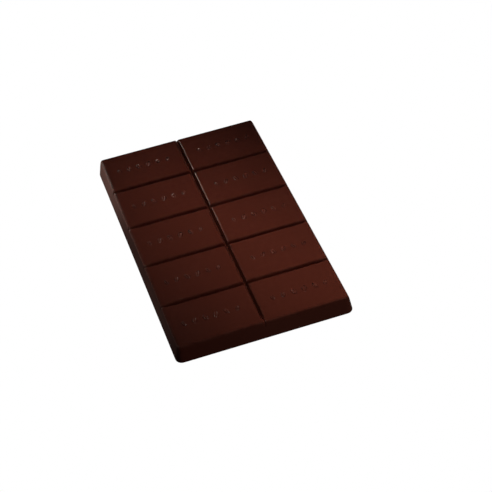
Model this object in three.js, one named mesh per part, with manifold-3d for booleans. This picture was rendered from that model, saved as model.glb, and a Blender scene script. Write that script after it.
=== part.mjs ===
// A moulded bar of dark chocolate, lying on its flat poured side with the moulded face up.
// Snap grooves mark off two columns of five oblong pieces, and each piece carries a raised
// row of small cocoa pods. The walls lean in towards the moulded face, so that the bar
// leaves its mould, and the grooves run out to shallow nicks just before the walls.
//
// Millimetres, +Z up. The origin is the middle of the underside. X runs across the bar and
// Y along it.

import * as THREE from "three";
import { mergeVertices } from "three/addons/utils/BufferGeometryUtils.js";
import Module from "manifold-3d";

// ---- Driving dimensions ----

const COLUMNS = 2;
const ROWS = 5;
const PIECE_WIDTH = 30; // from groove to groove, across the bar
const PIECE_LENGTH = 20; // from groove to groove, along the bar

const BAR = {
  width: COLUMNS * PIECE_WIDTH + 0.2, // the outer pieces run on a little to the leaning walls
  length: ROWS * PIECE_LENGTH + 0.7,
  thickness: 6.4,
  wallInset: 1.15, // how far the leaning walls come in from the foot to the moulded face
  cornerRadius: 2.3, // of the bar's outline, seen from above
  shoulderRadius: 1.1, // between the walls and the moulded face
  footRadius: 0.3, // between the walls and the underside
};

// Both kinds of groove are a V with a rounded bottom and rounded lips.
const LONG_GROOVE = {
  halfWidth: 0.95, // to where the lips meet the moulded face
  depth: 2.5,
  lipRadius: 0.35,
  bottomRadius: 0.2,
};
const CROSS_GROOVE = {
  halfWidth: 0.9,
  depth: 2.4,
  lipRadius: 0.3,
  bottomRadius: 0.2,
};
const GROOVE_END = {
  depth: 0.6, // of the nick that is left at the wall
  widthShare: 0.75, // of the full width, at the wall
  runOut: 5.2, // length over which the groove rises to the nick
};

// A pod is a pointed oval, split along its middle by a furrow.
const POD = {
  count: 6, // in the row on one piece
  pitch: 3.6,
  width: 1.9,
  length: 3,
  height: 0.35,
  furrow: 0.26,
  crownShare: 0.5, // how much of a half's outline its flat crown keeps
  tiltDegrees: 18, // each pod leans the other way from the one before it
  taper: 0.22, // how much smaller the pods at the row's ends are than those in its middle
};

// ---- Fineness of the faceted curves ----

const CORNER_STEPS = 5;
const SHOULDER_STEPS = 4;
const LIP_STEPS = 3;
const BOTTOM_STEPS = 2;
const RUN_OUT_STEPS = 4;
const POD_STEPS = 6;
const CUTTER_MARGIN = 2; // how far a cutter stands out of the bar
const POD_ROOT = 0.5; // how far a pod is set into the bar before the two are joined

const UP = new THREE.Vector3(0, 0, 1);
const steps = (count) => Array.from({ length: count + 1 }, (_, i) => i / count);
const centred = (index, count) => index - (count - 1) / 2;

// ---- Solids ----

const wasm = await Module();
wasm.setup();

function solidFrom(geometry) {
  const merged = mergeVertices(geometry);
  return new wasm.Manifold(
    new wasm.Mesh({
      numProp: 3,
      vertProperties: merged.attributes.position.array,
      triVerts: new Uint32Array(merged.index.array),
    }),
  );
}

function geometryFrom(solid) {
  const mesh = solid.getMesh();
  const geometry = new THREE.BufferGeometry();
  geometry.setAttribute("position", new THREE.BufferAttribute(mesh.vertProperties, 3));
  geometry.setIndex(new THREE.BufferAttribute(mesh.triVerts, 1));
  geometry.computeVertexNormals();
  return geometry;
}

// Skins a closed solid over sections with the same number of points. A section has an
// outline of Vector2, anticlockwise, and stands at a distance `at` along the third axis.
// `place` turns (u, v, at) into a point of the bar by a right-handed change of axes.
function loft(sections, place) {
  const count = sections[0].outline.length;
  const last = (sections.length - 1) * count;
  const faces = [];
  for (let lower = 0; lower < last; lower += count) {
    for (let i = 0; i < count; i++) {
      const here = lower + i;
      const next = lower + ((i + 1) % count);
      faces.push(here, next, next + count);
      faces.push(here, next + count, here + count);
    }
  }
  const startCap = THREE.ShapeUtils.triangulateShape(sections[0].outline, []);
  for (const [a, b, c] of startCap) faces.push(c, b, a);
  const endCap = THREE.ShapeUtils.triangulateShape(sections.at(-1).outline, []);
  for (const [a, b, c] of endCap) faces.push(last + a, last + b, last + c);

  const points = sections.flatMap(({ outline, at }) =>
    outline.map((point) => place(point.x, point.y, at)),
  );
  const geometry = new THREE.BufferGeometry().setFromPoints(points);
  geometry.setIndex(faces);
  return solidFrom(geometry);
}

// ---- The slab: leaning walls, rounded corners, rounded shoulder ----

// The bar's outline seen from above, drawn in by an inset from its widest, at the foot.
function slabOutline(inset) {
  const radius = BAR.cornerRadius - inset;
  const centreX = BAR.width / 2 - BAR.cornerRadius;
  const centreY = BAR.length / 2 - BAR.cornerRadius;
  const corners = [[1, 1], [-1, 1], [-1, -1], [1, -1]];
  return corners.flatMap(([signX, signY], quarter) =>
    steps(CORNER_STEPS).map((share) => {
      const angle = ((quarter + share) * Math.PI) / 2;
      return new THREE.Vector2(
        signX * centreX + radius * Math.cos(angle),
        signY * centreY + radius * Math.sin(angle),
      );
    }),
  );
}

// The slab's side seen in section: how far it is drawn in at each height.
function slabSections() {
  const { thickness, wallInset, shoulderRadius, footRadius } = BAR;
  const lean = Math.atan2(wallInset, thickness - footRadius);
  const wallAt = (height) => (height - footRadius) * Math.tan(lean);

  const foot = [
    { inset: footRadius, at: 0 },
    { inset: wallAt(footRadius), at: footRadius },
  ];
  const centreHeight = thickness - shoulderRadius;
  const wallEnd = centreHeight + shoulderRadius * Math.sin(lean);
  const centreInset = wallAt(wallEnd) + shoulderRadius * Math.cos(lean);
  const shoulder = steps(SHOULDER_STEPS).map((share) => {
    const angle = lean + share * (Math.PI / 2 - lean);
    return {
      inset: centreInset - shoulderRadius * Math.cos(angle),
      at: centreHeight + shoulderRadius * Math.sin(angle),
    };
  });
  return [...foot, ...shoulder].map(({ inset, at }) => ({ outline: slabOutline(inset), at }));
}

function makeSlab() {
  return loft(slabSections(), (u, v, at) => new THREE.Vector3(u, v, at));
}

// ---- The grooves ----

// How steep the flanks are, so that they run smoothly into the bottom and the lips.
function flankAngle({ halfWidth, depth, lipRadius, bottomRadius }) {
  const fall = depth - lipRadius - bottomRadius;
  const lean = Math.asin((lipRadius + bottomRadius) / Math.hypot(halfWidth, fall));
  return Math.atan2(fall, halfWidth) + lean;
}

// The right-hand side of a groove's section, from its bottom to its lip, with v measured
// up from the moulded face.
function grooveSide(groove) {
  const { halfWidth, depth, lipRadius, bottomRadius } = groove;
  const flank = flankAngle(groove);
  const bottom = steps(BOTTOM_STEPS).map((share) => {
    const angle = share * flank;
    return [bottomRadius * Math.sin(angle), -depth + bottomRadius * (1 - Math.cos(angle))];
  });
  const lip = steps(LIP_STEPS).map((share) => {
    const angle = (1 - share) * flank;
    return [halfWidth - lipRadius * Math.sin(angle), -lipRadius * (1 - Math.cos(angle))];
  });
  return [...bottom, ...lip];
}

function grooveOutline(groove, depthShare, widthShare) {
  const right = grooveSide(groove).map(
    ([u, v]) => new THREE.Vector2(u * widthShare, v * depthShare),
  );
  const left = right.slice(1).reverse().map(({ x, y }) => new THREE.Vector2(-x, y));
  const edge = groove.halfWidth * widthShare;
  const top = [
    new THREE.Vector2(edge, CUTTER_MARGIN),
    new THREE.Vector2(-edge, CUTTER_MARGIN),
  ];
  return [...top, ...left, ...right];
}

// The cutter for a groove as long as the bar is there: full depth in the middle, and a
// smooth rise to the nick at both ends.
function makeGroove(groove, barSize, place) {
  const wall = barSize / 2 - BAR.wallInset;
  const sectionAt = (at, runOutShare) => {
    const rise = (1 - Math.cos(runOutShare * Math.PI)) / 2;
    const endShare = GROOVE_END.depth / groove.depth;
    const depthShare = THREE.MathUtils.lerp(1, endShare, rise);
    const widthShare = THREE.MathUtils.lerp(1, GROOVE_END.widthShare, rise);
    return { outline: grooveOutline(groove, depthShare, widthShare), at };
  };
  const rising = steps(RUN_OUT_STEPS).map((share) =>
    sectionAt(wall - GROOVE_END.runOut * (1 - share), share),
  );
  const half = [...rising, sectionAt(wall + CUTTER_MARGIN, 1)];
  const otherHalf = half.map(({ outline, at }) => ({ outline, at: -at })).reverse();
  return loft([...otherHalf, ...half], place);
}

function makeLongGroove(x) {
  return makeGroove(
    LONG_GROOVE,
    BAR.length,
    (u, v, at) => new THREE.Vector3(x + u, -at, BAR.thickness + v),
  );
}

function makeCrossGroove(y) {
  return makeGroove(
    CROSS_GROOVE,
    BAR.width,
    (u, v, at) => new THREE.Vector3(at, y + u, BAR.thickness + v),
  );
}

// ---- The raised pods ----

// One half of a pod: a straight side along the furrow, and an arc that meets it at both tips.
function makePodHalf(side, place) {
  const inner = POD.furrow / 2;
  const bulge = POD.width / 2 - inner;
  const halfLength = POD.length / 2;
  const radius = (bulge ** 2 + halfLength ** 2) / (2 * bulge);
  const reach = Math.asin(halfLength / radius);
  const foot = steps(POD_STEPS).map((share) => {
    const angle = THREE.MathUtils.lerp(-reach, reach, share);
    return new THREE.Vector2(
      inner + bulge - radius * (1 - Math.cos(angle)),
      radius * Math.sin(angle),
    );
  });
  const middle = new THREE.Vector2(inner + bulge / 2, 0);
  const crown = foot.map((point) => middle.clone().lerp(point, POD.crownShare));
  return loft(
    [
      { outline: foot, at: -POD_ROOT },
      { outline: foot, at: 0 },
      { outline: crown, at: POD.height },
    ],
    (u, v, at) => place(side * u, side * v, at),
  );
}

function makePod(x, y, size, tilt) {
  const place = (u, v, at) =>
    new THREE.Vector3(u * size, v * size, at)
      .applyAxisAngle(UP, tilt)
      .add(new THREE.Vector3(x, y, BAR.thickness));
  return [makePodHalf(1, place), makePodHalf(-1, place)];
}

function makePodRow(pieceX, pieceY) {
  const tilt = THREE.MathUtils.degToRad(POD.tiltDegrees);
  return Array.from({ length: POD.count }, (_, i) => {
    const step = centred(i, POD.count);
    const size = 1 - (POD.taper * Math.abs(step)) / centred(POD.count - 1, POD.count);
    return makePod(pieceX + step * POD.pitch, pieceY, size, i % 2 ? -tilt : tilt);
  }).flat();
}

// ---- The bar ----

function makeBar() {
  let bar = makeSlab();
  for (let column = 1; column < COLUMNS; column++) {
    bar = bar.subtract(makeLongGroove(centred(column, COLUMNS + 1) * PIECE_WIDTH));
  }
  for (let row = 1; row < ROWS; row++) {
    bar = bar.subtract(makeCrossGroove(centred(row, ROWS + 1) * PIECE_LENGTH));
  }
  for (let column = 0; column < COLUMNS; column++) {
    for (let row = 0; row < ROWS; row++) {
      const x = centred(column, COLUMNS) * PIECE_WIDTH;
      const y = centred(row, ROWS) * PIECE_LENGTH;
      for (const half of makePodRow(x, y)) bar = bar.add(half);
    }
  }
  return bar;
}

const darkChocolate = new THREE.MeshStandardMaterial({
  color: "#3f1d15",
  roughness: 0.42,
  metalness: 0,
});

const chocolateBar = new THREE.Mesh(geometryFrom(makeBar()), darkChocolate);
chocolateBar.name = "chocolate_bar";

const part = new THREE.Group();
part.add(chocolateBar);

export default part;
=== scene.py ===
"""A bar of moulded dark chocolate, lying on a white studio table with its moulded face up.

Metres, +Z up. The bar rests on its flat underside round the origin, X runs across it and
Y along it. Sizes that are given in millimetres are multiplied by MM.
"""

import math

import bmesh
import bpy
from mathutils import Euler, Matrix, Vector


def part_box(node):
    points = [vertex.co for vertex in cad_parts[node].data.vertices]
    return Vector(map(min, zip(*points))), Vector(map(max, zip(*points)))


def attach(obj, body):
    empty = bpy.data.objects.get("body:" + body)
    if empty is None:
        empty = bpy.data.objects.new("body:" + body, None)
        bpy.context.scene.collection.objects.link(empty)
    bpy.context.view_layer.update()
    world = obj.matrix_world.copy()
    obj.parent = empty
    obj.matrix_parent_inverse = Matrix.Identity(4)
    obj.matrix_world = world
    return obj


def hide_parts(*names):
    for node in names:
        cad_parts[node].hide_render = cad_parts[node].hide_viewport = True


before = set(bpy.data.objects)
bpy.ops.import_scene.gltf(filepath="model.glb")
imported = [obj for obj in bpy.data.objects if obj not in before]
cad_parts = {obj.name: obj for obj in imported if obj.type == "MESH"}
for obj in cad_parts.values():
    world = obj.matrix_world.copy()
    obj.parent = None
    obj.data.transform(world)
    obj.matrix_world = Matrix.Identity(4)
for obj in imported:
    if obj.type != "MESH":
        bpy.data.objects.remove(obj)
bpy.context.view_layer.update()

MM = 0.001

# ---- Sizes of the bar ----

LOW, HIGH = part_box("chocolate_bar")
WIDTH = HIGH.x - LOW.x
LENGTH = HIGH.y - LOW.y
COLUMNS = 2
ROWS = 5
PIECE_WIDTH = 30 * MM  # from groove to groove, across the bar
PIECE_LENGTH = 20 * MM  # from groove to groove, along the bar

POD_HEIGHT = 0.35 * MM
FACE = HIGH.z - POD_HEIGHT  # height of the moulded face
WALL_INSET = 1.15 * MM  # how far the leaning walls come in from the foot to the moulded face
HALF_FACE_WIDTH = WIDTH / 2 - WALL_INSET
HALF_FACE_LENGTH = LENGTH / 2 - WALL_INSET
CORNER_RADIUS = 2.3 * MM  # of the outline at the foot
CORNER_SEGMENTS = 5

# How far from an edge the cage has its next line. The nearer it is, the tighter the edge.
SHOULDER_HOLD = 2.7 * MM
FOOT_HOLD = 0.53 * MM
WALL_LINE = 2.4 * MM  # height of the cage's line between those two, on the walls

# One side of each groove's section in millimetres, from its middle outwards: how far out and
# how deep. The last step only holds the face flat beside the lip.
LONG_GROOVE = [(0, 2.55), (0.2, 2.4), (0.38, 1.5), (0.52, 0.6), (0.74, 0.14), (1.15, 0), (1.55, 0)]
CROSS_GROOVE = [(0, 2.4), (0.17, 2.25), (0.35, 1.3), (0.47, 0.6), (0.66, 0.14), (1.0, 0), (1.4, 0)]
NICK_SHARE = 0.24  # of a groove's depth that is left as a nick where it meets the wall
NICK_WIDTH_SHARE = 0.75
RUN_OUT = 5.2 * MM  # length over which a groove rises to its nick

CAST_SPACING = 9 * MM  # of the slight unevenness of the moulded sides
CAST_DEPTH = 0.03 * MM
FOOT_CLEAR = 0.6 * MM  # height up to which the foot is left true
RIPPLE_SPACING = 6 * MM  # of the ripples on the poured underside
RIPPLE_DEPTH = 0.2 * MM
UNDERSIDE_SLACK = 0.1 * MM  # height up to which a point belongs to the underside
RIM_WIDTH = 1 * MM  # how far in from its edge the underside stays flat
RIM_FADE = 3 * MM  # length over which the ripples then grow

POD_COUNT = 6
POD_PITCH = 3.6 * MM
POD_HALF_WIDTH = 0.95 * MM
POD_HALF_LENGTH = 1.5 * MM
POD_TIP = 0.13 * MM  # half width of its blunt tips
POD_TILT = math.radians(18)
POD_TAPER = 0.22  # how much smaller the pods at a row's ends are
POD_ROOT = 0.3 * MM  # how far a pod is set into the bar
POD_STEPS = 8  # faces of the pod's cage, across it and along it
POD_SPARE = 1.07  # how much higher the cage is than the pod that is rounded from it
POD_FULLNESS = 2.5  # how long a pod keeps its height towards its tips
# A pod's section from its furrow to its edge: share of its half width, share of its height.
POD_SECTION = [(0, 0.25), (0.25, 0.75), (0.5, 1.0), (0.75, 0.9), (1.0, 0.0)]

FACE_SLACK = 0.025 * MM  # how far the moulded face may be off its height
CLOSING = 0.05 * MM  # points of the cage's corners that are nearer to each other are merged
SLIVER = 0.015 * MM  # the same for all points of the fused bar
NEAR = 0.001 * MM  # places that are nearer to each other count as the same
SMOOTH_ANGLE = math.radians(40)  # edges that turn by less are shaded smooth


# ---- Hand tools ----


def clamp(value):
    return max(0.0, min(1.0, value))


def centred(count, pitch):
    """The middles of `count` equal spaces in a row about zero."""
    return [(i - (count - 1) / 2) * pitch for i in range(count)]


def section_at(section, place):
    """Reads a section, given as (place, value) steps, at any place from its first step on."""
    for (start, low), (end, high) in zip(section, section[1:]):
        if place <= end:
            return low + (high - low) * (place - start) / (end - start)
    return section[-1][1]


def only(piece):
    """Makes a piece the one that is selected and active."""
    bpy.ops.object.select_all(action="DESELECT")
    piece.select_set(True)
    bpy.context.view_layer.objects.active = piece


def choose(piece, kind, wanted=lambda element: True):
    """In edit mode, selects only the VERT, EDGE or FACE elements that `wanted` accepts."""
    bpy.ops.mesh.select_mode(type=kind)
    bpy.ops.mesh.select_all(action="DESELECT")
    mesh = bmesh.from_edit_mesh(piece.data)
    elements = {"VERT": mesh.verts, "EDGE": mesh.edges, "FACE": mesh.faces}[kind]
    for element in elements:
        if wanted(element):
            element.select_set(True)
    mesh.select_flush_mode()
    bmesh.update_edit_mesh(piece.data)


def score(piece, place, normal, above=-math.inf):
    """In edit mode, scores the faces that lie higher than `above` along a plane."""
    choose(piece, "FACE", lambda face: face.calc_center_median().z > above)
    bpy.ops.mesh.bisect(plane_co=place, plane_no=normal)


def size_up(piece, name, width, length):
    """Names a new flat piece one metre wide and long, and gives it its size."""
    piece.name = name
    piece.scale = (width, length, 1)
    bpy.ops.object.transform_apply(location=False, rotation=False, scale=True)


def apply_modifier(piece, name, kind, **settings):
    """Adds a modifier with its settings, and applies it."""
    modifier = piece.modifiers.new(name, kind)
    for setting, value in settings.items():
        setattr(modifier, setting, value)
    only(piece)
    bpy.ops.object.modifier_apply(modifier=name)


def displace(piece, name, weight_at, **settings):
    """Moves the points of a piece, each by a share from 0 to 1 worked out from its place."""
    group = piece.vertex_groups.new(name=name)
    for vertex in piece.data.vertices:
        group.add([vertex.index], clamp(weight_at(vertex.co)), "REPLACE")
    apply_modifier(piece, name, "DISPLACE", vertex_group=name, **settings)
    piece.vertex_groups.clear()


def clouds(name, spacing):
    """A cloudy texture for `displace`."""
    texture = bpy.data.textures.new(name, "CLOUDS")
    texture.noise_scale = spacing
    return texture


# ---- The slab ----


LONG_CENTRES = centred(COLUMNS - 1, PIECE_WIDTH)
CROSS_CENTRES = centred(ROWS - 1, PIECE_LENGTH)

# Lines that give the flat parts between the grooves enough points, and the run-outs more.
PLAIN_ACROSS = [side * x * MM for x in (4, 8, 12, 16, 20, 23.4, 24.7, 26) for side in (-1, 1)]
PLAIN_ALONG = [centre + y * MM for centre in centred(ROWS, PIECE_LENGTH) for y in (-5, 0, 5)]
PLAIN_ALONG += [side * y * MM for y in (43.6, 46.3) for side in (-1, 1)]


def model_slab():
    """The bar's cage before its grooves: a flat foot, leaning walls and the moulded face."""
    bpy.ops.object.select_all(action="DESELECT")
    bpy.ops.mesh.primitive_plane_add(size=1, location=(0, 0, 0))
    slab = bpy.context.object
    size_up(slab, "moulded_bar", WIDTH, LENGTH)

    bpy.ops.object.mode_set(mode="EDIT")
    choose(slab, "VERT")
    bpy.ops.mesh.bevel(offset=CORNER_RADIUS, segments=CORNER_SEGMENTS, affect="VERTICES")
    choose(slab, "FACE")
    bpy.ops.mesh.inset(thickness=WALL_INSET)
    bpy.ops.transform.translate(value=(0, 0, FACE))
    choose(slab, "EDGE", lambda edge: edge.is_boundary)
    bpy.ops.mesh.edge_face_add()
    choose(slab, "FACE")
    bpy.ops.mesh.normals_make_consistent(inside=False)
    hold_face(slab)
    hold_foot(slab)
    score_cage(slab)
    bpy.ops.object.mode_set(mode="OBJECT")
    return slab


def is_flat_at(face, height):
    return all(abs(vertex.co.z - height) < NEAR for vertex in face.verts)


def is_face_rectangle(face):
    """Whether this is the one large face inside the moulded face's rounded corners."""
    return len(face.verts) == 4 and face.calc_area() > WIDTH * LENGTH / 2 and is_flat_at(face, FACE)


def inset_to_rectangle(radius):
    """Insets the chosen face by its corner radius, so that its corners close to points."""
    bpy.ops.mesh.inset(thickness=radius)
    bpy.ops.mesh.select_mode(type="VERT")
    bpy.ops.mesh.remove_doubles(threshold=CLOSING)


def hold_face(slab):
    """Gives the moulded face an inner rectangle, at the distance that holds its shoulders."""
    radius = CORNER_RADIUS - WALL_INSET
    choose(slab, "FACE", lambda face: is_flat_at(face, FACE))
    inset_to_rectangle(radius)
    choose(slab, "FACE", is_face_rectangle)
    across, along = [
        (half_size - SHOULDER_HOLD) / (half_size - radius)
        for half_size in (HALF_FACE_WIDTH, HALF_FACE_LENGTH)
    ]
    bpy.ops.transform.resize(value=(across, along, 1), center_override=(0, 0, FACE))


def hold_foot(slab):
    """Gives the underside a ring that holds the foot's edge, and an inner rectangle."""
    choose(slab, "FACE", lambda face: is_flat_at(face, 0))
    bpy.ops.mesh.inset(thickness=FOOT_HOLD)
    inset_to_rectangle(CORNER_RADIUS - FOOT_HOLD)


def groove_lines(groove, centres):
    """Where the cage is scored for the grooves: one line for each step of their section."""
    offsets = {side * out * MM for side in (-1, 1) for out, _ in groove}
    return sorted({centre + offset for centre in centres for offset in offsets})


def score_cage(slab):
    """Scores lines round the walls, across and along the bar, and beside every groove."""
    shoulder = FACE - SHOULDER_HOLD
    for height in (FOOT_HOLD, WALL_LINE, shoulder):
        score(slab, (0, 0, height), (0, 0, 1))
    for x in PLAIN_ACROSS:
        score(slab, (x, 0, 0), (1, 0, 0))
    for y in PLAIN_ALONG:
        score(slab, (0, y, 0), (0, 1, 0))
    for x in groove_lines(LONG_GROOVE, LONG_CENTRES):
        score(slab, (x, 0, 0), (1, 0, 0), above=shoulder)
    for y in groove_lines(CROSS_GROOVE, CROSS_CENTRES):
        score(slab, (0, y, 0), (0, 1, 0), above=shoulder)


def groove_depth(groove, across, along, wall):
    """How deep a groove is pressed, at a distance across it and a place along it."""
    gone = clamp((abs(along) - (wall - RUN_OUT)) / RUN_OUT)
    rise = (1 - math.cos(math.pi * gone)) / 2
    out = across / MM / (1 + rise * (NICK_WIDTH_SHARE - 1))
    share = 1 + rise * (NICK_SHARE - 1)
    return share * section_at(groove, out) * MM


def pressed_depth(point):
    """How deep the moulded face is pressed at a point of the cage."""
    if point.z < FACE - NEAR:
        return 0.0
    depths = [
        groove_depth(LONG_GROOVE, abs(point.x - centre), point.y, HALF_FACE_LENGTH)
        for centre in LONG_CENTRES
    ]
    depths += [
        groove_depth(CROSS_GROOVE, abs(point.y - centre), point.x, HALF_FACE_WIDTH)
        for centre in CROSS_CENTRES
    ]
    return max(depths)


def press_grooves(slab):
    deepest = LONG_GROOVE[0][1] * MM
    displace(
        slab, "press", lambda point: pressed_depth(point) / deepest,
        direction="Z", strength=-deepest, mid_level=0,
    )


def underside_weight(point):
    """1 on the underside away from its rim, and 0 from the rim upwards."""
    if point.z > UNDERSIDE_SLACK:
        return 0.0
    inwards = min(WIDTH / 2 - abs(point.x), LENGTH / 2 - abs(point.y))
    return (inwards - RIM_WIDTH) / RIM_FADE


def soften(slab):
    """Rounds the cage, and gives it the slight unevenness of a cast and of a poured side."""
    apply_modifier(slab, "soften", "SUBSURF", levels=2, render_levels=2)
    displace(
        slab, "cast_unevenness", lambda point: (point.z - FOOT_CLEAR) / FOOT_CLEAR,
        texture=clouds("cast_unevenness", CAST_SPACING), texture_coords="LOCAL",
        strength=CAST_DEPTH, mid_level=0.5,
    )
    displace(
        slab, "poured_ripples", underside_weight,
        texture=clouds("poured_ripples", RIPPLE_SPACING), texture_coords="LOCAL",
        direction="Z", strength=RIPPLE_DEPTH, mid_level=0,
    )


# ---- The pods ----


def pod_edge(along):
    """Half of a pod's width, at a place along it: an arc from tip to tip."""
    bulge = POD_HALF_WIDTH - POD_TIP
    radius = (bulge**2 + POD_HALF_LENGTH**2) / (2 * bulge)
    return POD_HALF_WIDTH - radius + math.sqrt(radius**2 - along**2)


def pod_rise(point):
    """How high a pod's skin stands at a point, as a share of its full height."""
    if point.z < -NEAR:
        return 0.0
    out = clamp(abs(point.x) / pod_edge(point.y))
    length_share = clamp(abs(point.y) / POD_HALF_LENGTH)
    return section_at(POD_SECTION, out) * (1 - length_share**POD_FULLNESS)


def model_pod():
    """One cocoa pod at the origin, standing on the height zero, with a root below it."""
    bpy.ops.object.select_all(action="DESELECT")
    bpy.ops.mesh.primitive_grid_add(x_subdivisions=POD_STEPS, y_subdivisions=POD_STEPS, size=1)
    pod = bpy.context.object
    size_up(pod, "cocoa_pod", 2 * POD_HALF_WIDTH, 2 * POD_HALF_LENGTH)

    bpy.ops.object.mode_set(mode="EDIT")
    for step in range(POD_STEPS + 1):
        along = (2 * step / POD_STEPS - 1) * POD_HALF_LENGTH
        choose(pod, "VERT", lambda vertex: abs(vertex.co.y - along) < NEAR)
        narrowing = pod_edge(along) / POD_HALF_WIDTH
        bpy.ops.transform.resize(value=(narrowing, 1, 1), center_override=(0, along, 0))
    choose(pod, "EDGE", lambda edge: edge.is_boundary)
    bpy.ops.mesh.extrude_region_move(TRANSFORM_OT_translate={"value": (0, 0, -POD_ROOT)})
    bpy.ops.mesh.edge_face_add()
    choose(pod, "FACE")
    bpy.ops.mesh.normals_make_consistent(inside=False)
    bpy.ops.object.mode_set(mode="OBJECT")

    displace(pod, "rise", pod_rise, direction="Z", strength=POD_SPARE * POD_HEIGHT, mid_level=0)
    apply_modifier(pod, "soften", "SUBSURF", levels=1, render_levels=1)
    return pod


def pod_places():
    """Where each pod lies on the face, how far it is turned, and how large it is."""
    end = centred(POD_COUNT, POD_PITCH)[-1]
    for piece_x in centred(COLUMNS, PIECE_WIDTH):
        for piece_y in centred(ROWS, PIECE_LENGTH):
            for index, x in enumerate(centred(POD_COUNT, POD_PITCH)):
                turn = -POD_TILT if index % 2 else POD_TILT
                yield (piece_x + x, piece_y, FACE), turn, 1 - POD_TAPER * abs(x) / end


def place_pods(pod):
    """Copies the pod along the row on every piece, and joins all of them."""
    copies = []
    for place, turn, size in pod_places():
        copy = pod.copy()
        copy.data = pod.data.copy()
        bpy.context.collection.objects.link(copy)
        copy.location = place
        copy.rotation_euler = (0, 0, turn)
        copy.scale = (size, size, 1)
        copies.append(copy)
    bpy.data.objects.remove(pod)
    only(copies[0])
    for copy in copies:
        copy.select_set(True)
    bpy.ops.object.join()
    pods = bpy.context.object
    bpy.ops.object.transform_apply(location=True, rotation=True, scale=True)
    return pods


def fuse(bar, pods):
    """Makes the bar and its pods one solid."""
    apply_modifier(bar, "fuse", "BOOLEAN", operation="UNION", solver="MANIFOLD", object=pods)
    bpy.data.objects.remove(pods)
    clear_slivers(bar)


def clear_slivers(bar):
    """Merges the slivers that a union leaves, and splits its many-sided faces."""
    bpy.ops.object.mode_set(mode="EDIT")
    for split in (True, False):
        choose(bar, "VERT")
        bpy.ops.mesh.remove_doubles(threshold=SLIVER)
        bpy.ops.mesh.dissolve_degenerate(threshold=SLIVER)
        if split:
            choose(bar, "FACE", lambda face: len(face.verts) > 4)
            bpy.ops.mesh.quads_convert_to_tris(quad_method="BEAUTY", ngon_method="BEAUTY")
    bpy.ops.object.mode_set(mode="OBJECT")


def is_pod_root(edge):
    """Whether an edge lies where a pod rises out of the moulded face."""
    if len(edge.link_faces) != 2:
        return False
    crests = sorted(max(vertex.co.z for vertex in face.verts) for face in edge.link_faces)
    return abs(crests[0] - FACE) < FACE_SLACK and crests[1] > FACE + FACE_SLACK


def shade(bar):
    """Smooths the shading, but for the pods' roots, so that the face round them stays even."""
    only(bar)
    bpy.ops.object.mode_set(mode="EDIT")
    choose(bar, "EDGE", is_pod_root)
    bpy.ops.mesh.mark_sharp()
    bpy.ops.object.mode_set(mode="OBJECT")
    bpy.ops.object.shade_smooth_by_angle(angle=SMOOTH_ANGLE, keep_sharp_edges=True)


# ---- Mixing a material ----


PIT_STEP = 0.01  # how sharply the cells with a pit are told from those without
PIT_FLAT_SHARE = 0.4  # of a pit's radius that is its flat bottom


class Recipe:
    """Adds nodes to a material. All of them start from the place on the piece."""

    def __init__(self, material):
        self.nodes = material.node_tree.nodes
        self.links = material.node_tree.links
        self.place = self.nodes.new("ShaderNodeTexCoord").outputs["Object"]
        split = self.nodes.new("ShaderNodeSeparateXYZ")
        self.feed(split.inputs["Vector"], self.place)
        self.across, self.along, self.height = split.outputs

    def feed(self, socket, value):
        """Gives an input a constant or the output of another node."""
        if isinstance(value, bpy.types.NodeSocket):
            self.links.new(value, socket)
        else:
            socket.default_value = value

    def remap(self, name, source, span, low, high, curve="LINEAR"):
        """Turns a value that runs over a span into one that runs from `low` to `high`."""
        node = self.nodes.new("ShaderNodeMapRange")
        node.label = name
        node.interpolation_type = curve
        values = {
            "Value": source,
            "From Min": span[0],
            "From Max": span[1],
            "To Min": low,
            "To Max": high,
        }
        for socket, value in values.items():
            self.feed(node.inputs[socket], value)
        return node.outputs["Result"]

    def calculate(self, operation, first, second):
        node = self.nodes.new("ShaderNodeMath")
        node.operation = operation
        self.feed(node.inputs[0], first)
        self.feed(node.inputs[1], second)
        return node.outputs["Value"]

    def add(self, first, second):
        return self.calculate("ADD", first, second)

    def multiply(self, first, second):
        return self.calculate("MULTIPLY", first, second)

    def blend(self, name, kind, share, first, second):
        """Mixes two values or colours, each given as a constant or as an output."""
        node = self.nodes.new("ShaderNodeMix")
        node.label = name
        node.data_type = kind
        sockets = [socket for socket in node.inputs if socket.enabled]
        for socket, value in zip(sockets, (share, first, second)):
            self.feed(socket, value)
        return next(socket for socket in node.outputs if socket.enabled)

    def noise(self, name, per_metre, detail, low=0, high=1, contrast=(0.3, 0.7)):
        """A soft noise over the piece, between two values."""
        texture = self.nodes.new("ShaderNodeTexNoise")
        texture.label = name
        self.feed(texture.inputs["Scale"], per_metre)
        self.feed(texture.inputs["Detail"], detail)
        self.feed(texture.inputs["Vector"], self.place)
        return self.remap(name, texture.outputs["Fac"], contrast, low, high)

    def pits(self, name, spacing, share, radius, depth):
        """Scattered hollows, round in plan, in a share of all cells, as depths below zero."""
        cells = self.nodes.new("ShaderNodeTexVoronoi")
        cells.label = name
        cells.voronoi_dimensions = "2D"
        self.feed(cells.inputs["Scale"], 1 / spacing)
        self.feed(cells.inputs["Vector"], self.place)
        chance = self.nodes.new("ShaderNodeSeparateColor")
        self.feed(chance.inputs["Color"], cells.outputs["Color"])
        chosen = self.remap(name, chance.outputs["Red"], (share, share + PIT_STEP), 1, 0)
        reach = radius / spacing
        flank = (PIT_FLAT_SHARE * reach, reach)
        hollow = self.remap(name, cells.outputs["Distance"], flank, -depth, 0)
        return self.multiply(hollow, chosen)


# ---- The chocolate ----


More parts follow.
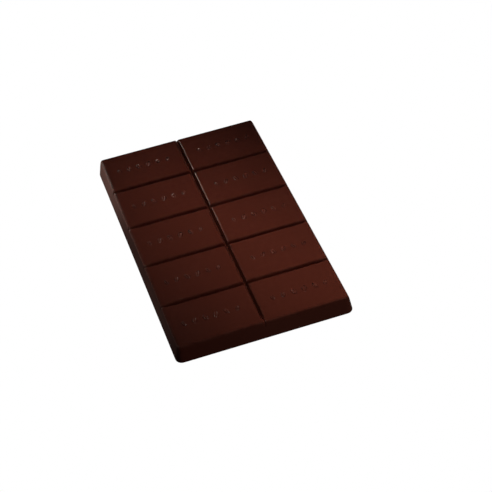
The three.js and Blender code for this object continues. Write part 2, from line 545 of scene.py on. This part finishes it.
CHOCOLATE_DARK = (0.0535, 0.0108, 0.0059, 1)
CHOCOLATE_LIGHT = (0.0615, 0.0132, 0.0074, 1)
RUBBED = (0.078, 0.0205, 0.0128, 1)  # where the bar is rubbed paler
BLOOM = (0.069, 0.0172, 0.0105, 1)  # the paler underside
SATIN = {"low": 0.2, "high": 0.27}  # roughness of the sides that lay in the mould
DULL = {"low": 0.33, "high": 0.45}  # roughness of the poured underside
IOR = 1.46  # of cocoa butter

# Heights over which the parts of the bar's skin begin or end.
UNDERSIDE_END = (0.25 * MM, 0.4 * MM)
LIP_START = (FACE - 0.9 * MM, FACE - 0.4 * MM)
LIP_END = (FACE - 0.12 * MM, FACE - 0.04 * MM)
PINHOLE_START = (FACE - 0.3 * MM, FACE - 0.1 * MM)
CROWN_START = (FACE + 0.12 * MM, FACE + 0.3 * MM)

# The finest relief. Its heights and depths are in millimetres, and what lies in plan in metres.
FINE_GRAIN = 0.006
POURED_GRAIN = 0.05
PINHOLE = {"spacing": 5 * MM, "share": 0.27, "radius": 0.13 * MM, "depth": 0.05}
BUBBLE = {"spacing": 7 * MM, "share": 0.45, "radius": 0.4 * MM, "depth": 0.07}


def rubbed_share(recipe):
    """How far the lips of the grooves, the shoulders and the crowns of the pods are rubbed."""
    below = recipe.remap("below the face", recipe.height, LIP_END, 1, 0)
    lips = recipe.remap("lips", recipe.height, LIP_START, 0, 1)
    crowns = recipe.remap("crowns", recipe.height, CROWN_START, 0, 1)
    edges = recipe.add(recipe.multiply(below, lips), crowns)
    scuffs = recipe.noise("scuffs", per_metre=420, detail=4, high=0.7, contrast=(0.38, 0.62))
    return recipe.multiply(edges, scuffs)


def chocolate_colour(recipe, underside):
    """A cloudy, mottled brown, paler where it is rubbed and on the underside."""
    cloudy = recipe.noise("cloudy tone", per_metre=90, detail=3)
    mottled = recipe.noise("mottling", per_metre=620, detail=2)
    lighter = recipe.multiply(cloudy, mottled)
    tone = recipe.blend("tone", "RGBA", lighter, CHOCOLATE_DARK, CHOCOLATE_LIGHT)
    bloom = recipe.multiply(underside, recipe.noise("bloom", per_metre=130, detail=4, low=0.2))
    tone = recipe.blend("bloom", "RGBA", bloom, tone, BLOOM)
    return recipe.blend("rubbed", "RGBA", rubbed_share(recipe), tone, RUBBED)


def chocolate_roughness(recipe, underside):
    satin = recipe.noise("satin", per_metre=260, detail=4, **SATIN)
    dull = recipe.noise("dull underside", per_metre=200, detail=4, **DULL)
    return recipe.blend("roughness", "FLOAT", underside, satin, dull)


def chocolate_relief(recipe, underside):
    """A fine grain with a few pinholes, and on the underside a coarser one with bubbles."""
    whole = (0, 1)
    fine = recipe.noise("fine grain", per_metre=900, detail=3, high=FINE_GRAIN, contrast=whole)
    poured = recipe.noise("poured grain", per_metre=420, detail=4, high=POURED_GRAIN, contrast=whole)
    grain = recipe.blend("grain", "FLOAT", underside, fine, poured)

    on_face = recipe.remap("on the face", recipe.height, PINHOLE_START, 0, 1)
    pinholes = recipe.pits("pinholes", **PINHOLE)
    bubbles = recipe.pits("bubbles", **BUBBLE)
    pits = recipe.add(recipe.multiply(on_face, pinholes), recipe.multiply(underside, bubbles))
    return recipe.add(grain, pits)


def make_chocolate():
    material = bpy.data.materials.new("dark_chocolate")
    material.use_nodes = True
    recipe = Recipe(material)
    underside = recipe.remap("underside", recipe.height, UNDERSIDE_END, 1, 0)
    bump = recipe.nodes.new("ShaderNodeBump")
    recipe.feed(bump.inputs["Strength"], 1)
    recipe.feed(bump.inputs["Distance"], MM)  # of one unit of relief
    recipe.feed(bump.inputs["Height"], chocolate_relief(recipe, underside))

    shader = recipe.nodes["Principled BSDF"]
    recipe.feed(shader.inputs["Base Color"], chocolate_colour(recipe, underside))
    recipe.feed(shader.inputs["Roughness"], chocolate_roughness(recipe, underside))
    recipe.feed(shader.inputs["IOR"], IOR)
    recipe.feed(shader.inputs["Normal"], bump.outputs["Normal"])
    return material


# ---- Stage: table, card, lights and camera ----


STUDIO_RADIUS = 3

CARD_SIZE = 0.5
CARD_PLACE = (-0.1, 0, -0.2 * MM)
CARD_TONE = (1, 0.57, 0.47, 1)
CARD_DIM = 0.071  # how bright the card is in front
CARD_BRIGHT = 0.25  # the same behind
CARD_FADE = (0.007, 0.042)  # from where to where the card grows brighter, along Y
FAR_DIM = 0.085  # how much brighter it is away from the bar, in front
FAR_BRIGHT = 0.76  # the same behind
FAR_FADE = (0.021, 0.047)  # from where to where that grows, along Y
FAR_END = (-0.046, -0.031)  # from where to where it ends towards the bar, along X
CARD_SHADE = 0.65  # how much darker its front left is
CARD_SHADE_Y = (-0.055, -0.02)  # from where to where that fades out, along Y
CARD_SHADE_X = (-0.03, 0.008)  # the same along X


def glow(name):
    """A material that only glows, and its emission."""
    material = bpy.data.materials.new(name)
    material.use_nodes = True
    nodes = material.node_tree.nodes
    nodes.clear()
    emission = nodes.new("ShaderNodeEmission")
    output = nodes.new("ShaderNodeOutputMaterial")
    material.node_tree.links.new(emission.outputs["Emission"], output.inputs["Surface"])
    return material, emission


def make_surroundings():
    """A white table and dome, which only the camera sees, so that they cast nothing on the bar."""
    white, _ = glow("studio_white")
    bpy.ops.mesh.primitive_plane_add(size=2 * STUDIO_RADIUS, location=(0, 0, 0))
    table = bpy.context.object
    table.name = "studio_table"
    bpy.ops.mesh.primitive_uv_sphere_add(radius=STUDIO_RADIUS, location=(0, 0, 0))
    dome = bpy.context.object
    dome.name = "studio_dome"
    for piece in (table, dome):
        piece.data.materials.append(white)
        piece.visible_glossy = False
        piece.visible_diffuse = False
        piece.visible_shadow = False


def make_card():
    """A glowing card just under the table's surface, which the bar's walls mirror."""
    bpy.ops.mesh.primitive_plane_add(size=CARD_SIZE, location=CARD_PLACE)
    card = bpy.context.object
    bpy.ops.object.transform_apply(location=True, rotation=False, scale=False)
    card.name = "studio_card"
    material, emission = glow("studio_card")
    recipe = Recipe(material)
    recipe.feed(emission.inputs["Color"], CARD_TONE)
    recipe.feed(emission.inputs["Strength"], card_strength(recipe))
    card.data.materials.append(material)
    card.visible_camera = False
    card.visible_shadow = False


def card_strength(recipe):
    """How bright the card is: bright behind, most so on the left, and dim in front."""

    def fade(name, coordinate, span, low, high):
        return recipe.remap(name, coordinate, span, low, high, curve="SMOOTHSTEP")

    near = fade("near the bar", recipe.along, CARD_FADE, CARD_DIM, CARD_BRIGHT)
    far = fade("away from the bar", recipe.along, FAR_FADE, FAR_DIM, FAR_BRIGHT)
    left = fade("left of the bar", recipe.across, FAR_END, 1, 0)
    light = recipe.add(near, recipe.multiply(far, left))
    front = fade("shaded in front", recipe.along, CARD_SHADE_Y, 1, 0)
    shaded = recipe.multiply(front, fade("shaded left", recipe.across, CARD_SHADE_X, CARD_SHADE, 0))
    return recipe.calculate("SUBTRACT", light, recipe.multiply(light, shaded))


WARM_WHITE = (1, 0.85, 0.74)  # of the lamps that only the gloss shows
LAMP_DISTANCE = 0.35  # of the spots and the strip lamp from what they are aimed at

STRIP_AIM = (0.0263, -0.0384, FACE)
STRIP_TILT = 32  # degrees off overhead, towards the back
STRIP_TURN = 148.2  # degrees from +Y towards +X
STRIP_LENGTH = 0.182
STRIP_WIDTH = 0.01
STRIP_SPREAD = math.radians(19.5)
STRIP_ENERGY = 0.0352

PANEL_LEFT = -0.106  # where the panel begins and ends along X
PANEL_RIGHT = -0.04
PANEL_BACK = 0.12  # where it stands along Y
PANEL_TOP = 0.075
PANEL_RADIANCE = 0.85  # watts per square metre and steradian

FILL_DISTANCE = 0.32  # of the fills from the origin
FILL_WIDTH = 0.16

WORLD_STRENGTH = 0.022


def direction(azimuth, elevation):
    """The way to something that stands at an azimuth from +Y towards +X, in degrees."""
    azimuth, elevation = math.radians(azimuth), math.radians(elevation)
    return Vector((
        math.sin(azimuth) * math.cos(elevation),
        math.cos(azimuth) * math.cos(elevation),
        math.sin(elevation),
    ))


def add_lamp(name, kind, place, turn, in_gloss, **settings):
    """Adds a lamp that shows only in the bar's gloss, or only in its plain shading."""
    data = bpy.data.lights.new(name, kind)
    for setting, value in settings.items():
        setattr(data, setting, value)
    lamp = bpy.data.objects.new(name, data)
    lamp.location = place
    lamp.rotation_euler = turn
    lamp.visible_glossy = in_gloss
    lamp.visible_diffuse = not in_gloss
    bpy.context.scene.collection.objects.link(lamp)


def facing(way):
    """How a lamp is turned that stands out along a way and shines back along it."""
    return way.to_track_quat("Z", "Y").to_euler()


def make_strip():
    """A long soft lamp with a grid, high up behind the bar, whose pool lies slantwise on it."""
    way = direction(0, 90 - STRIP_TILT)
    across = way.cross(direction(STRIP_TURN, 0)).normalized()
    turn = Matrix((across.cross(way), across, way)).transposed().to_euler()
    add_lamp(
        "strip_lamp", "AREA", Vector(STRIP_AIM) + LAMP_DISTANCE * way, turn, in_gloss=False,
        shape="ELLIPSE", size=STRIP_LENGTH, size_y=STRIP_WIDTH, spread=STRIP_SPREAD,
        energy=STRIP_ENERGY,
    )


def make_panel():
    """An upright white panel behind the bar on its left."""
    width = PANEL_RIGHT - PANEL_LEFT
    place = ((PANEL_LEFT + PANEL_RIGHT) / 2, PANEL_BACK, PANEL_TOP / 2)
    add_lamp(
        "back_panel", "AREA", place, (-math.pi / 2, 0, 0), in_gloss=True,
        shape="RECTANGLE", size=width, size_y=PANEL_TOP, color=WARM_WHITE,
        energy=PANEL_RADIANCE * math.pi * width * PANEL_TOP,
    )


def make_spot(name, azimuth, elevation, aim, energy, half_angle, radius):
    """A snooted lamp that makes a glint on the lips and shoulders."""
    way = direction(azimuth, elevation)
    add_lamp(
        name, "SPOT", Vector(aim) + LAMP_DISTANCE * way, facing(way), in_gloss=True,
        shadow_soft_size=radius, spot_size=2 * math.radians(half_angle), spot_blend=1,
        color=WARM_WHITE, energy=energy,
    )


def make_fill(name, azimuth, elevation, energy):
    """A broad dim lamp, aimed at the origin."""
    way = direction(azimuth, elevation)
    add_lamp(
        name, "AREA", FILL_DISTANCE * way, facing(way), in_gloss=False,
        shape="DISK", size=FILL_WIDTH, energy=energy,
    )


def make_world():
    """A dim white room all round."""
    world = bpy.data.worlds.new("studio")
    world.use_nodes = True
    background = world.node_tree.nodes["Background"]
    background.inputs["Color"].default_value = (1, 1, 1, 1)
    background.inputs["Strength"].default_value = WORLD_STRENGTH
    bpy.context.scene.world = world


def make_lights():
    make_world()
    make_strip()
    make_panel()
    make_spot(
        "lip_lamp", azimuth=-36, elevation=30, aim=(0.006, 0.024, 0.006),
        energy=0.8, half_angle=3.3, radius=0.018,
    )
    make_spot(
        "glint_lamp", azimuth=-95, elevation=55, aim=(0, 0, 0.006),
        energy=1.5, half_angle=12, radius=0.02,
    )
    make_fill("front_fill", azimuth=140, elevation=29, energy=0.245)
    # Low enough to light the bar's back and right walls through the table, but not its face.
    make_fill("back_fill", azimuth=40, elevation=-6, energy=0.4)


# The camera's place as seen from the aim, the point in the middle of its picture. Its azimuth
# runs from -Y towards +X.
CAMERA = {
    "aim": (0.00802, -0.00473, -0.00268),
    "azimuth": -14.584,
    "elevation": 43.752,
    "roll": 5.801,
    "distance": 0.50264,
    "lens": 107.05,
    "sensor": 36,
    "nearest": 0.01,
}


def make_camera():
    data = bpy.data.cameras.new("camera")
    data.lens = CAMERA["lens"]
    data.sensor_width = CAMERA["sensor"]
    data.clip_start = CAMERA["nearest"]
    camera = bpy.data.objects.new("camera", data)
    back = direction(180 - CAMERA["azimuth"], CAMERA["elevation"])
    camera.location = Vector(CAMERA["aim"]) + back * CAMERA["distance"]
    tilt = math.radians(90 - CAMERA["elevation"])
    turn = Euler((tilt, 0, math.radians(CAMERA["azimuth"])), "XYZ").to_matrix()
    roll = Euler((0, 0, -math.radians(CAMERA["roll"]))).to_matrix()
    camera.rotation_euler = (turn @ roll).to_euler()
    bpy.context.scene.collection.objects.link(camera)
    bpy.context.scene.camera = camera


# ---- Putting it together ----

bar = model_slab()
press_grooves(bar)
soften(bar)
fuse(bar, place_pods(model_pod()))
bar.data.materials.clear()
bar.data.materials.append(make_chocolate())
shade(bar)
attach(bar, "root")
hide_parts("chocolate_bar")

make_surroundings()
make_card()
make_lights()
make_camera()
bpy.context.scene.view_settings.view_transform = "Standard"
